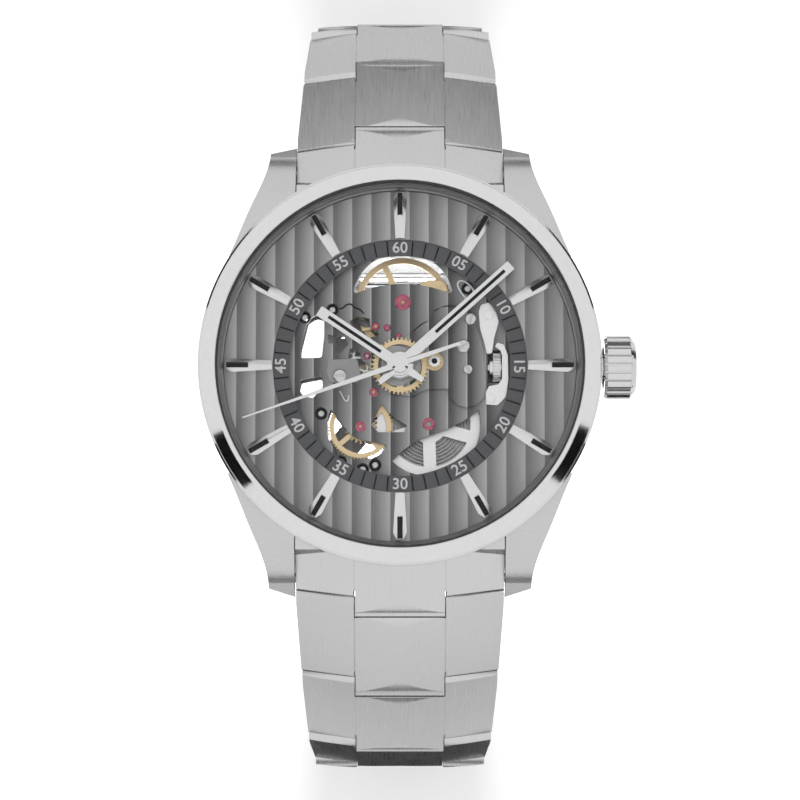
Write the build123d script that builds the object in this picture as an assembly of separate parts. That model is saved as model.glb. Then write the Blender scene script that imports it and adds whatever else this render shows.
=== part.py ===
from build123d import *
import os
from math import atan2, cos, degrees, hypot, pi, radians, sin, tan

# Automatic skeleton wristwatch on a steel bracelet, closed as on a wrist.
# Millimetres. +Z leaves the dial, +Y points to 12 o'clock, +X to the crown.
# The origin is the centre of the case back's flat outer face.

# ---------------------------------------------------------------- dimensions
GAP = 0.05                 # running clearance between moving pieces

CASE_R = 20.6              # case middle, outer radius
CASE_BORE_R = 18.9
BEZEL_R = 21.0
BEZEL_IN_R = 19.15
CRYSTAL_R = 18.95
CRYSTAL_BOTTOM = 9.5
BACK_GLASS_R = 14.5
DIAL_R = 18.4
DIAL_HOLE_R = 11.56
TRACK_R = 13.3             # outer radius of the sunk minute track
DIAL_Z = (7.2, 7.6)

LUG_IN_X = 11.0            # half of the 22 mm between the lugs
LUG_TIP_Y = 24.1
SPRING_BAR_Y, SPRING_BAR_Z, SPRING_BAR_R = 21.9, 3.1, 0.75

CROWN_X = (21.35, 24.8)
CROWN_R = 3.42
STEM_Z = 5.5
STEM_R = 0.55
CROWN_FLUTES = 24

HANDS = {"hour": (10.2, 304.0), "minute": (15.6, 48.0), "seconds": (17.3, 251.0)}
HAND_W = 1.1

# bracelet: link pitch, thickness and the slope of each link below the horizontal
PITCH = 9.5
LINK_T = 3.0
PIVOT_0 = (24.5, 3.0)
END_LINK_SLOPE = 25.0
LINK_SLOPES = (31.0, 51.0, 78.0, 110.0, 142.0, 170.0)
KNUCKLE_R = 1.68
SEAT_R = 1.76
CENTRE_HALF_W = 4.8
PIN_R = 0.6
CROWNING_R = 60.0          # links are slightly rounded across their width
ROUND_L, ROUND_H = 1.3, 0.24                # and fall off over this length and height at each end

# movement: (x, y) of every arbor
MOVEMENT_R = 12.8
THIRD = (-2.75, -2.70)
MESH = hypot(*THIRD)       # distance centre to third, and third to great
GREAT_DIR = atan2(-3.6, -1.4)
GREAT = (THIRD[0] + MESH * cos(GREAT_DIR), THIRD[1] + MESH * sin(GREAT_DIR))
BARREL = (3.0, -6.05)
ESCAPE_DIR = radians(162.0)
FOURTH_R = 3.35
ESCAPE_MESH = FOURTH_R * 13 / 12
ESCAPE = (ESCAPE_MESH * cos(ESCAPE_DIR), ESCAPE_MESH * sin(ESCAPE_DIR))
PALLET = (-2.55, 4.25)
BALANCE = (0.3, 6.8)
MINUTE_WHEEL = (3.6, 0.5)
BRIDGE_Z = (2.65, 3.0)
WEB_Z = (6.0, 6.5)         # the main plate's floor, seen from the dial
MOTION_Z = (6.82, 6.95)

LEVER_AT = (9.3, 5.4)
YOKE_AT = (9.5, -3.4)
PALLET_POST = (-5.9, 5.6)  # foot of the small arm that carries the pallet fork's lower pivot
BRACKET_Z = (4.78, 4.9)

PINS = {"third": THIRD, "great": GREAT, "escape": ESCAPE, "pallet": PALLET, "balance": BALANCE}
BACK_BEARINGS = ("third", "great", "escape", "balance")
JEWEL_R = {"third": 0.5, "great": 0.55, "escape": 0.4, "pallet": 0.42, "balance": 0.85}
BARREL_JEWEL_R = 0.65
PLAIN_JEWELS = ((-1.35, 4.1, 0.36), (-0.15, 3.2, 0.3))      # set in the plate, no arbor
SCREWS = ((6.65, 2.1, 0.69), (7.4, 4.95, 0.62), (7.1, -0.35, 0.5))
COVER_SCREW = (-6.3, -1.0, 0.7)
SUNK_SCREWS = ((-8.25, -4.95), (-2.6, -10.35), (-3.9, -10.8), (-6.2, -10.0), (-7.1, 6.0), (-10.0, 5.2),
               (7.1, 8.25))
SUNK_R, SUNK_FLOOR_Z, SUNK_HEAD_R = 0.66, 6.2, 0.33


# ---------------------------------------------------------------- helpers
def disc(r, z0, z1, at=(0, 0)):
    return Pos(at[0], at[1], z0) * Cylinder(r, z1 - z0, align=(Align.CENTER, Align.CENTER, Align.MIN))


def ring(ro, ri, z0, z1, at=(0, 0)):
    return disc(ro, z0, z1, at) - disc(ri, z0 - 1, z1 + 1, at)


def block(x0, x1, y0, y1, z0, z1):
    return Pos((x0 + x1) / 2, (y0 + y1) / 2, (z0 + z1) / 2) * Box(x1 - x0, y1 - y0, z1 - z0)


def face(points):
    return make_face(Polyline(*points, close=True))


def plate(points, z0, z1, corner=0.0):
    """A flat plate of polygonal outline, with rounded corners if asked."""
    outline = face(points)
    if corner:
        outline = fillet(outline.vertices(), corner)
    return extrude(Plane.XY.offset(z0) * outline, z1 - z0)


def turned(points):
    """A solid of revolution about Z from (radius, z) points."""
    return revolve(Plane.XZ * face(points), Axis.Z)


def across(points, half):
    """A solid of the (y, z) outline, reaching half a width each side of X = 0."""
    return extrude(Plane.YZ * face(points), half, both=True)


def rod_x(r, x0, x1, y, z):
    return Pos((x0 + x1) / 2, y, z) * Rot(0, 90, 0) * Cylinder(r, x1 - x0)


def pair(x0, x1, y0, y1, z0, z1):
    """The same block on the right and on the left."""
    return [block(x0, x1, y0, y1, z0, z1), block(-x1, -x0, y0, y1, z0, z1)]


def pair_rod(r, x0, x1, y, z):
    return [rod_x(r, x0, x1, y, z), rod_x(r, -x1, -x0, y, z)]


def polar(r, turn):
    """A point at radius r, turn degrees clockwise from 12 o'clock."""
    return (r * sin(radians(turn)), r * cos(radians(turn)))


def gear(teeth, pitch_r, z0, z1, at, phase=0.0):
    """A watch wheel: slim straight-sided teeth on a round blank."""
    module = 2 * pitch_r / teeth
    tip, root = pitch_r + 0.8 * module, pitch_r - 1.1 * module
    step = 2 * pi / teeth
    outline = []
    for n in range(teeth):
        mid = phase + n * step
        for r, turn in ((root, -0.27), (tip, -0.09), (tip, 0.09), (root, 0.27)):
            outline.append((r * cos(mid + turn * step), r * sin(mid + turn * step)))
    return Pos(at[0], at[1], 0) * plate(outline, z0, z1)


def spoked(solid, at, r_in, r_out, arms, arm_w, z0, z1, turn=0.0):
    """Cuts the windows between a wheel's arms."""
    window = ring(r_out, r_in, z0 - 0.1, z1 + 0.1, at)
    for n in range(arms):
        arm = Rot(0, 0, turn + n * 360 / arms) * block(0, r_out + 1, -arm_w / 2, arm_w / 2, z0 - 1, z1 + 1)
        window -= Pos(at[0], at[1], 0) * arm
    return solid - window


def mesh_phase(teeth, other_teeth, other_phase, bearing):
    """The phase that puts a tooth of this wheel into a gap of the other, seen along bearing."""
    other_step = 2 * pi / other_teeth
    offset = ((bearing - other_phase) / other_step) % 1.0
    return bearing + pi + (offset - 0.5) * 2 * pi / teeth


def bearing(a, b):
    return atan2(b[1] - a[1], b[0] - a[0])


# ---------------------------------------------------------------- case
def lug_outline():
    """Plan of one lug, at the upper right."""
    inner = Line((LUG_IN_X, 12.0), (LUG_IN_X, LUG_TIP_Y - 0.15))
    tip = Line(inner @ 1, (13.75, 23.1))
    flank = Spline(tip @ 1, (14.15, 20.6), (15.5, 17.2), (17.9, 11.4), tangents=[(0.0, -1.0), (0.45, -1.0)])
    foot = Line(flank @ 1, (14.0, 9.0))
    back = Line(foot @ 1, (LUG_IN_X, 12.0))
    return make_face([inner, tip, flank, foot, back])


def lug():
    plan = extrude(lug_outline(), 9.0)
    top = Spline((9.0, 8.38), (16.0, 7.95), (20.0, 6.45), (22.6, 4.7), tangents=[(1, 0), (0.75, -1)])
    facet = Line(top @ 1, (LUG_TIP_Y, 2.3))
    end = Line(facet @ 1, (LUG_TIP_Y, 1.0))
    under = Spline(end @ 1, (21.5, 0.75), (16.0, 2.2), (9.0, 2.6))
    side = make_face([top, facet, end, under, Line(under @ 1, (9.0, 8.38))])
    return plan & extrude(Plane.YZ * side, 25)


def case_middle():
    flank = ThreePointArc((20.1, 2.0), (20.75, 5.6), (20.45, 8.4))
    wall = make_face([flank, Polyline(flank @ 1, (CASE_BORE_R, 8.4), (CASE_BORE_R, 2.0), flank @ 0)])
    body = revolve(Plane.XZ * wall, Axis.Z)
    one = lug()
    right = one + mirror(one, Plane.XZ)
    lugs = right + mirror(right, Plane.YZ)
    body += lugs - disc(CASE_BORE_R + 0.5, 0, 10)
    bars = [rod_x(0.6, -12.7, 12.7, side * SPRING_BAR_Y, SPRING_BAR_Z) for side in (1, -1)]
    return body - bars - rod_x(1.5, 15, 30, 0, STEM_Z)


def bezel():
    return turned([(BEZEL_IN_R, 8.4), (20.9, 8.4), (BEZEL_R, 8.6), (BEZEL_R, 9.75), (20.75, 10.1),
                   (19.6, 10.5), (19.3, 10.5), (BEZEL_IN_R, 10.4)])


def crystal():
    dome = ThreePointArc((0, 11.25), (10.0, 11.12), (18.7, 10.75))
    rim = Polyline(dome @ 1, (CRYSTAL_R, 10.6), (CRYSTAL_R, CRYSTAL_BOTTOM), (0, CRYSTAL_BOTTOM), dome @ 0)
    return revolve(Plane.XZ * make_face([dome, rim]), Axis.Z)


def gaskets():
    return [ring(BEZEL_IN_R, CRYSTAL_R, CRYSTAL_BOTTOM, 10.35), ring(17.9, 17.3, 2.0, 2.3)]


def dial_flange():
    """The ring between dial and crystal, cut in two steps and a slope."""
    return turned([(18.45, 7.6), (18.45, 7.9), (18.65, 8.1), (18.65, 8.6), (18.9, 8.9), (18.9, 9.45),
                   (19.05, 9.45), (19.05, 8.9), (18.88, 8.4), (18.88, 7.6)])


def case_back():
    shell = turned([(14.55, 0.0), (17.4, 0.0), (19.4, 1.5), (19.4, 2.0), (18.75, 2.0), (18.75, 2.9),
                    (18.0, 2.9), (18.0, 2.0), (15.4, 2.0), (15.4, 1.35), (14.55, 1.3)])
    notch = block(-1.2, 1.2, 16.6, 18.6, -1, 0.5)
    return shell - [Rot(0, 0, 60 * n) * notch for n in range(6)]


def movement_ring():
    body = turned([(12.9, 3.1), (18.7, 3.1), (18.7, 6.9), (17.0, 7.15), (13.2, 7.15), (12.9, 6.8)])
    return body - rod_x(0.9, 10, 20, 0, STEM_Z)


def crown_tube():
    return rod_x(1.48, 18.95, 22.6, 0, STEM_Z) - rod_x(0.85, 18, 23, 0, STEM_Z)


def crown():
    """A fluted cap, hollowed at its inner end to pass over the tube."""
    x0, x1 = CROWN_X
    cap = turned([(0, x0), (3.2, x0), (CROWN_R, x0 + 0.3), (CROWN_R, x1 - 0.75), (2.75, x1 - 0.15),
                  (2.3, x1 - 0.04), (1.2, x1), (0, x1)])
    flute = block(CROWN_R - 0.28, CROWN_R + 1, -0.11, 0.11, x0 - 1, x1 + 1)
    cap -= [Rot(0, 0, 360 / CROWN_FLUTES * n) * flute for n in range(CROWN_FLUTES)]
    cap -= disc(2.3, x0 - 1, x0 + 1.9)
    cap -= disc(STEM_R + 0.01, x0 - 1, x0 + 2.6)
    return Pos(0, 0, STEM_Z) * Rot(0, 90, 0) * cap


def winding_stem():
    body = rod_x(STEM_R, 8.6, CROWN_X[0] + 2.5, 0, STEM_Z)
    return body - (rod_x(1, 11.9, 12.5, 0, STEM_Z) - rod_x(0.35, 11.8, 12.6, 0, STEM_Z))


def crown_gasket():
    return Pos(20.4, 0, STEM_Z) * Rot(0, 90, 0) * (Cylinder(0.82, 0.4) - Cylinder(STEM_R + 0.03, 1))


# ---------------------------------------------------------------- dial and hands
def dial():
    """The dial ring, with the minute track sunk at its inner edge."""
    return ring(DIAL_R, TRACK_R, *DIAL_Z) + ring(TRACK_R + 0.05, DIAL_HOLE_R, DIAL_Z[0], DIAL_Z[1] - 0.2)


def baton(r0, r1, w0, w1, w2, r2, z, h):
    """A bar along +Y from r0 to r2 with a ridge along its middle: widths w0, w1, w2 at r0, r1, r2."""
    outline = [(-w0 / 2, r0), (-w1 / 2, r1), (-w2 / 2, r2), (w2 / 2, r2), (w1 / 2, r1), (w0 / 2, r0)]
    section = face([(-1, z), (-1, z + 0.05), (0, z + h), (1, z + 0.05), (1, z)])
    return plate(outline, z, z + h) & extrude(Plane.XZ * section, 25, both=True)


def hour_markers():
    marker = baton(13.35, 17.55, 0.95, 1.46, 0.8, 18.2, DIAL_Z[1], 0.75)
    marker -= block(-0.28, 0.28, 15.8, 18.15, DIAL_Z[1] + 0.4, 10)
    return [Rot(0, 0, -30 * n) * marker for n in range(12)]


def hand(name, z, boss_r, hole_r):
    length, turn = HANDS[name]
    body = baton(-2.9, 0, 0.5, HAND_W, HAND_W, length, z, 0.3)
    body = body + disc(boss_r, z, z + 0.25) - disc(hole_r, z - 1, z + 2)
    return Rot(0, 0, -turn) * body


def hour_hand():
    return hand("hour", 8.1, 1.35, 0.95)


def minute_hand():
    return hand("minute", 8.5, 1.15, 0.62)


def seconds_hand():
    length, turn = HANDS["seconds"]
    needle = plate([(-0.3, 0), (-0.07, length), (0.07, length), (0.3, 0), (0, -0.2)], 9.0, 9.15)
    tail = plate([(-0.27, 0), (-0.17, -6.6), (0.17, -6.6), (0.27, 0)], 9.0, 9.15)
    cap = turned([(0, 8.95), (0.9, 8.95), (0.9, 9.2), (0.6, 9.35), (0, 9.38)])
    return Rot(0, 0, -turn) * (needle + tail + cap)


# ---------------------------------------------------------------- movement
def bore(solid, z0, z1, radii, names=tuple(PINS)):
    """Cuts the arbors' holes through a plate."""
    return solid - [disc(radii[name], z0 - 0.5, z1 + 0.5, PINS[name]) for name in names]


def seat_radii(extra):
    return {name: r + extra for name, r in JEWEL_R.items()}


def openings(z0, z1):
    """What is cut away right through the movement."""
    balance = disc(5.35, z0, z1, BALANCE) - disc(12.5, z0 - 1, z1 + 1, (BALANCE[0], -3.75))
    balance = fillet(balance.edges().filter_by(Axis.Z), 0.3)
    left_top = plate([(-10.45, 0.9), (-10.4, 2.0), (-9.7, 4.9), (-8.8, 5.45), (-7.95, 5.3), (-7.95, 3.3),
                      (-8.2, 0.95)], z0, z1, 0.3)
    left_low = plate([(-10.4, -1.4), (-8.2, -0.95), (-8.05, -2.1), (-9.1, -3.3), (-10.1, -3.1),
                      (-10.6, -2.4)], z0, z1, 0.3)
    crescent = disc(3.55, z0, z1, GREAT) & plate([(-7.2, -4.5), (-5.96, -6.2), (-5.1, -7.2), (-4.2, -7.65),
                                                  (-1.5, -8.2), (-1.5, -11), (-9, -11), (-9, -4.5)], z0, z1)
    return balance + left_top + left_low + crescent


def windows(z0, z1):
    """Openings in the main plate alone, over the barrel, the great wheel and the escapement."""
    over_barrel = disc(5.45, z0, z1, BARREL)
    over_barrel &= plate([(-1.2, -10.2), (0.2, -8.9), (1.8, -7.75), (5.3, -6.4), (6.7, -5.7), (8.3, -4.5),
                          (9.5, -4.5), (9.5, -12), (-1.2, -12)], z0, z1)
    over_great = plate([(-1.95, -3.9), (-3.0, -6.1), (-2.4, -6.9), (0.5, -6.9), (0.7, -6.2), (-0.7, -5.3)],
                       z0, z1, 0.15)
    over_escape = ring(1.95, 0.7, z0, z1, ESCAPE)
    over_escape &= plate([(-3.4, 1.0), (-5.6, 2.2), (-5.6, -0.9), (-3.1, -0.9)], z0, z1)
    over_pallet = plate([(-5.3, 4.8), (-4.3, 5.3), (-3.2, 5.1), (-3.05, 4.0), (-2.3, 3.65), (-2.2, 3.2),
                         (-3.4, 3.1), (-4.9, 3.9)], z0, z1, 0.12)
    small = [plate([(-7.6, 3.4), (-7.0, 3.3), (-6.95, 2.5), (-7.5, 2.4)], z0, z1, 0.1),
             plate([(-6.6, 3.0), (-5.9, 3.2), (-5.4, 2.4), (-6.2, 1.4), (-6.8, 1.6)], z0, z1, 0.1),
             plate([(-6.8, 4.5), (-6.2, 4.7), (-6.0, 4.0), (-6.7, 3.8)], z0, z1, 0.1)]
    return over_barrel + over_great + over_escape + over_pallet + small


def pallet_bracket():
    """A thin arm under the main plate with the lower bearing of the pallet fork."""
    toward = degrees(bearing(PALLET_POST, PALLET))
    reach = hypot(PALLET[0] - PALLET_POST[0], PALLET[1] - PALLET_POST[1])
    arm = Rot(0, 0, toward) * block(0, reach, -0.3, 0.3, *BRACKET_Z)
    arm = Pos(*PALLET_POST, 0) * arm + disc(0.42, *BRACKET_Z, PALLET)
    return arm + disc(0.5, BRACKET_Z[0], WEB_Z[0] + 0.1, PALLET_POST) - disc(0.14, 4, 5.5, PALLET)


def main_plate():
    body = disc(MOVEMENT_R, *WEB_Z) + ring(MOVEMENT_R, 12.0, 3.1, WEB_Z[0] + 0.1)
    z0, z1 = WEB_Z[0] - 0.5, WEB_Z[1] + 0.5
    body -= openings(z0, z1) + windows(z0, z1)
    body -= disc(0.95, z0, z1)
    body -= disc(5.95, 3.0, WEB_Z[0] - 0.3, BARREL)
    body -= rod_x(0.75, 8.0, 14, 0, STEM_Z)
    body -= block(9.2, 11.0, -1.75, 1.75, 3.9, 8)
    body -= [disc(0.37, z0, z1, (x, y)) for x, y, r in SCREWS + (COVER_SCREW,)]
    body -= [disc(0.37, z0, z1, at) + disc(SUNK_R, SUNK_FLOOR_Z, z1, at) for at in SUNK_SCREWS]
    body -= [disc(0.3, z0, z1, at) for at in (LEVER_AT, YOKE_AT, MINUTE_WHEEL)]
    body -= [disc(r + 0.01, z0, z1, (x, y)) for x, y, r in PLAIN_JEWELS + ((*BARREL, BARREL_JEWEL_R),)]
    return bore(body, z0, z1, seat_radii(0.01)) + pallet_bracket()


def motion_bridge():
    """The rounded bridge over the minute wheel, and the small cover plate left of the centre."""
    outline = [(2.7, -2.45), (5.0, -2.35), (5.3, -3.4), (6.1, -4.15), (7.0, -4.35), (8.0, -4.1), (8.75, -3.3),
               (8.95, -2.0), (8.9, 0.0), (8.55, 2.6), (7.9, 4.4), (6.8, 5.6), (5.6, 6.3), (4.2, 6.2),
               (3.2, 5.0), (1.0, 3.3), (-1.6, 2.6), (-2.4, 1.2), (-2.4, -1.2), (-1.0, -2.9), (1.2, -3.2)]
    body = plate(outline, *MOTION_Z, corner=0.15)
    holes = [disc(0.37, 6, 8, (x, y)) for x, y, r in SCREWS + (COVER_SCREW,)]
    body += [disc(0.56, WEB_Z[1], MOTION_Z[0] + 0.02, (x, y)) for x, y, r in SCREWS]
    body -= disc(1.3, 6, 8) + disc(0.98, 6, 8, MINUTE_WHEEL)
    cover = plate([(-7.5, 0.7), (-4.5, 0.8), (-4.1, -0.7), (-4.4, -1.7), (-7.3, -1.7), (-7.7, -0.6)],
                  WEB_Z[1] + 0.02, WEB_Z[1] + 0.2, corner=0.2)
    return [body - holes, cover - holes]


def train_bridge():
    body = disc(12.6, *BRIDGE_Z) - openings(2, 4)
    body -= block(-6.2, 6.8, 3.4, 14, 2, 4)
    body -= disc(1.2, 2, 4, BARREL)
    body += ring(MOVEMENT_R, 12.0, BRIDGE_Z[0], 3.1)
    return bore(body, 2, 4, seat_radii(0.01), BACK_BEARINGS) - disc(0.2, 2, 4)


def balance_bridge():
    outline = [(-5.6, 3.6), (-5.6, 5.0), (-1.2, 8.0), (1.8, 8.0), (6.2, 5.0), (6.2, 3.6)]
    body = plate(outline, *BRIDGE_Z, corner=0.3)
    return bore(body, 2, 4, seat_radii(0.01), BACK_BEARINGS)


def stone(x, y, r, hole_r):
    """A jewel in the main plate, bevelled at its top."""
    z0, z1 = WEB_Z
    profile = [(hole_r, z0), (r, z0), (r, z1 + 0.02), (r * 0.75, z1 + 0.1), (hole_r, z1 + 0.1)]
    return Pos(x, y, 0) * turned(profile)


def jewels():
    front = [stone(*PINS[name], r, 0.17) for name, r in JEWEL_R.items()]
    front += [stone(*BARREL, BARREL_JEWEL_R, 0.3)] + [stone(x, y, r, 0) for x, y, r in PLAIN_JEWELS]
    return front + [ring(JEWEL_R[name], 0.17, *BRIDGE_Z, PINS[name]) for name in BACK_BEARINGS]


def screw(x, y, r, seat_z, turn):
    top = seat_z + 0.25
    head = turned([(0, seat_z), (r, seat_z), (r, top - 0.09), (r * 0.85, top), (0, top)])
    slot = Rot(0, 0, turn) * block(-r, r, -0.09, 0.09, seat_z + 0.1, seat_z + 1)
    return Pos(x, y, 0) * (head - slot) + disc(min(r, 0.35), seat_z - 0.3, seat_z + 0.05, (x, y))


def movement_screws():
    raised = [screw(x, y, r, MOTION_Z[1], 35 + 40 * n) for n, (x, y, r) in enumerate(SCREWS)]
    sunk = [screw(x, y, SUNK_HEAD_R, SUNK_FLOOR_Z, 15 + 55 * n) for n, (x, y) in enumerate(SUNK_SCREWS)]
    return raised + sunk + [screw(*COVER_SCREW, WEB_Z[1] + 0.2, 5)]


def arbor(at, z0=2.7, z1=6.5, r=0.28):
    """A staff with a thin pivot at each end, running in jewels."""
    return disc(0.12, z0, z1, at) + disc(r, BRIDGE_Z[1] + 0.1, WEB_Z[0] - 0.1, at)


# tooth counts: seconds pinion 8, third wheel 72, third pinion 9, centre and great wheels 60,
# great pinion 20, barrel 72, fourth wheel 96, escape pinion 8, cannon pinion 12, minute wheel 36,
# minute pinion 10, hour wheel 40
THIRD_PHASE = 0.0
THIRD_PINION_R = MESH * 9 / 69
BARREL_MESH = hypot(BARREL[0] - GREAT[0], BARREL[1] - GREAT[1])
MOTION_MESH = hypot(*MINUTE_WHEEL)


def third_wheel():
    wheel = gear(72, MESH * 72 / 80, 3.4, 3.55, THIRD, THIRD_PHASE)
    wheel = spoked(wheel, THIRD, 1.0, 2.9, 4, 0.45, 3.4, 3.55, 20)
    pinion = gear(9, THIRD_PINION_R, 3.9, 5.88, THIRD, THIRD_PHASE)
    return wheel + pinion + arbor(THIRD)


def great_wheel():
    phase = mesh_phase(60, 9, THIRD_PHASE, bearing(THIRD, GREAT))
    wheel = gear(60, MESH * 60 / 69, 5.65, 5.83, GREAT, phase)
    wheel = spoked(wheel, GREAT, 1.0, 2.75, 4, 0.5, 5.65, 5.83, 40)
    pinion = gear(20, BARREL_MESH * 20 / 92, 4.85, 5.4, GREAT, 0.0)
    return wheel + pinion + arbor(GREAT)


def centre_wheel():
    """Centre wheel, tube and cannon pinion, turning once an hour with the minute hand."""
    phase = mesh_phase(60, 9, THIRD_PHASE, bearing(THIRD, (0, 0)))
    wheel = gear(60, MESH * 60 / 69, 5.65, 5.83, (0, 0), phase)
    wheel = spoked(wheel, (0, 0), 1.1, 2.7, 4, 0.5, 5.65, 5.83)
    cannon = gear(12, MOTION_MESH * 12 / 48, 6.55, 6.8, (0, 0), 0.0)
    tube = disc(0.75, 5.65, 6.9) + disc(0.6, 6.8, 8.8)
    return wheel + cannon + tube - disc(0.3, 5, 9)


def fourth_wheel():
    """Fourth wheel and long seconds arbor, turning once a minute."""
    wheel = spoked(gear(96, FOURTH_R, 3.08, 3.2, (0, 0), 0.0), (0, 0), 0.9, 2.9, 4, 0.4, 3.08, 3.2)
    phase = mesh_phase(8, 72, THIRD_PHASE, bearing(THIRD, (0, 0)))
    pinion = gear(8, MESH * 8 / 80, 3.3, 3.75, (0, 0), phase)
    return wheel + pinion + disc(0.25, 3.1, 8.95) + disc(0.15, 2.7, 3.2)


def escape_wheel():
    phase = mesh_phase(8, 96, 0.0, ESCAPE_DIR)
    pinion = gear(8, FOURTH_R / 12, 3.08, 3.5, ESCAPE, phase)
    points = []
    for n in range(20):
        lead, trail = radians(18 * n), radians(18 * n + 5)
        points += [(1.55 * cos(lead), 1.55 * sin(lead)), (2.1 * cos(trail), 2.1 * sin(trail)),
                   (1.62 * cos(trail), 1.62 * sin(trail))]
    star = Pos(*ESCAPE, 0) * plate(points, 5.0, 5.15)
    star = spoked(star, ESCAPE, 0.5, 1.35, 4, 0.25, 5.0, 5.15)
    return star + pinion + arbor(ESCAPE, r=0.2)


def pallet_fork():
    """Anchor and lever, its two arms beside the escape wheel and its horns by the roller."""
    toward = degrees(bearing(PALLET, BALANCE))
    back = degrees(bearing(PALLET, ESCAPE))
    reach = hypot(BALANCE[0] - PALLET[0], BALANCE[1] - PALLET[1]) - 1.0
    z0, z1 = 4.98, 5.13
    lever = plate([(0, -0.28), (reach, -0.14), (reach + 0.2, -0.35), (reach + 0.2, 0.35), (reach, 0.14),
                   (0, 0.28)], z0, z1)
    arms = [Rot(0, 0, back + side * 68) * block(0, 1.5, -0.15, 0.15, z0, z1) for side in (1, -1)]
    anchor = Pos(*PALLET, 0) * (Rot(0, 0, toward) * lever + arms + disc(0.4, z0, z1))
    pivot = disc(0.12, BRACKET_Z[0], WEB_Z[1], PALLET)
    return anchor + pivot + disc(0.2, BRACKET_Z[1] + 0.05, WEB_Z[0] - 0.1, PALLET)


def balance_wheel():
    rim = ring(5.0, 4.4, 4.2, 4.6)
    arms = [Rot(0, 0, 115 + 120 * n) * block(0, 4.6, -0.32, 0.32, 4.25, 4.5) for n in range(3)]
    weights = [disc(0.22, 4.55, 4.69, polar(4.7, 45 * n)) for n in range(8)]
    hub = disc(0.8, 4.2, 4.6) + disc(0.75, 4.75, 4.88)
    return Pos(*BALANCE, 0) * (rim + hub + arms + weights) + arbor(BALANCE, r=0.35)


def spiral(at, r0, r1, turns, width, z0, z1):
    """A flat ribbon wound as a spiral."""
    steps = int(turns * 16)
    inner, outer = [], []
    for n in range(steps + 1):
        turn, r = 2 * pi * turns * n / steps, r0 + (r1 - r0) * n / steps
        inner.append((at[0] + (r - width / 2) * cos(turn), at[1] + (r - width / 2) * sin(turn)))
        outer.append((at[0] + (r + width / 2) * cos(turn), at[1] + (r + width / 2) * sin(turn)))
    edges = [Spline(*inner), Line(inner[-1], outer[-1]), Spline(*reversed(outer)), Line(outer[0], inner[0])]
    return extrude(Plane.XY.offset(z0) * make_face(edges), z1 - z0)


def hairspring():
    return spiral(BALANCE, 0.6, 2.9, 9, 0.07, 3.6, 3.85) + ring(0.66, 0.36, 3.6, 3.85, BALANCE)


def mainspring():
    return spiral(BARREL, 1.7, 4.5, 8, 0.15, 4.0, 5.0)


def barrel():
    """The openworked drum: toothed flange, wall, floor, and a cover with five arms."""
    phase = mesh_phase(72, 20, 0.0, bearing(GREAT, BARREL))
    teeth = gear(72, BARREL_MESH * 72 / 92, 5.05, 5.3, BARREL, phase)
    drum = teeth + disc(5.25, 3.75, 5.3, BARREL) - disc(4.95, 3.9, 5.6, BARREL)
    cover = ring(5.1, 1.0, 5.12, 5.3, BARREL)
    cover = spoked(cover, BARREL, 1.9, 4.4, 5, 1.35, 5.12, 5.3, -88)
    return drum + cover - disc(0.85, 3, 6, BARREL)


def barrel_arbor():
    """Arbor with the ratchet wheel on its back end."""
    core = disc(0.8, 3.3, 5.5, BARREL) + disc(1.5, 3.95, 5.0, BARREL) + disc(0.28, 5.4, WEB_Z[1], BARREL)
    return core + gear(30, 3.0, 3.3, 3.55, BARREL) + disc(1.1, 2.7, 3.4, BARREL)


def hour_wheel():
    phase = mesh_phase(40, 10, 0.0, bearing(MINUTE_WHEEL, (0, 0)))
    wheel = gear(40, MOTION_MESH * 40 / 50, 7.0, 7.15, (0, 0), phase)
    wheel = spoked(wheel, (0, 0), 1.5, 2.3, 3, 0.7, 7.0, 7.15, 30)
    return wheel + disc(0.93, 7.0, 8.35) - disc(0.65, 6.5, 9)


def minute_wheel():
    phase = mesh_phase(36, 12, 0.0, bearing((0, 0), MINUTE_WHEEL))
    wheel = gear(36, MOTION_MESH * 36 / 48, 6.58, 6.74, MINUTE_WHEEL, phase)
    pinion = gear(10, MOTION_MESH * 10 / 50, 6.7, 7.2, MINUTE_WHEEL, 0.0)
    return wheel + pinion + disc(0.25, 6.05, 6.7, MINUTE_WHEEL)


def winding_pinion():
    toothed = gear(24, 1.4, 0, 0.8, (0, 0)) + disc(0.95, -0.35, 0.1)
    toothed -= disc(STEM_R + GAP, -1, 2)
    return Pos(9.75, 0, STEM_Z) * Rot(0, 90, 0) * toothed


def setting_lever():
    body = plate([(8.25, 5.8), (8.5, 6.5), (9.3, 6.75), (10.15, 5.95), (10.35, 4.7), (9.85, 2.9), (9.65, 1.4),
                  (9.1, 1.3), (8.85, 2.4), (8.4, 4.0)], 6.56, 6.76, 0.12)
    return body + disc(0.5, 6.56, 6.85, LEVER_AT) + disc(0.25, 6.05, 6.6, LEVER_AT)


def yoke():
    """A hooked lever that reaches up beside the winding pinion."""
    body = plate([(9.0, -4.0), (10.2, -4.1), (11.1, -3.2), (11.35, -1.5), (11.3, 1.2), (10.9, 2.3), (10.2, 2.5),
                  (9.95, 2.1), (10.5, 1.7), (10.68, 1.2), (10.68, -1.3), (10.3, -1.9), (9.3, -2.1),
                  (8.95, -2.8)], 6.56, 6.76, 0.12)
    return body + disc(0.45, 6.56, 6.85, YOKE_AT) + disc(0.25, 6.05, 6.6, YOKE_AT)


def rotor():
    """Half-disc winding mass on a ball bearing, hanging towards the lower right."""
    sector = disc(13.3, 1.55, 1.85) + ring(13.3, 10.6, 1.55, 2.5)
    sector &= block(-14, 14, -14, 1.0, 0, 4)
    window = ring(9.8, 4.6, 1, 3) & block(-12, 12, -12, -2.2, 0, 4)
    window -= block(-0.9, 0.9, -13, 0, 0, 4)
    body = sector - window + disc(3.0, 1.55, 2.2) - disc(1.3, 1, 3)
    return Rot(0, 0, 50) * body


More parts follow.
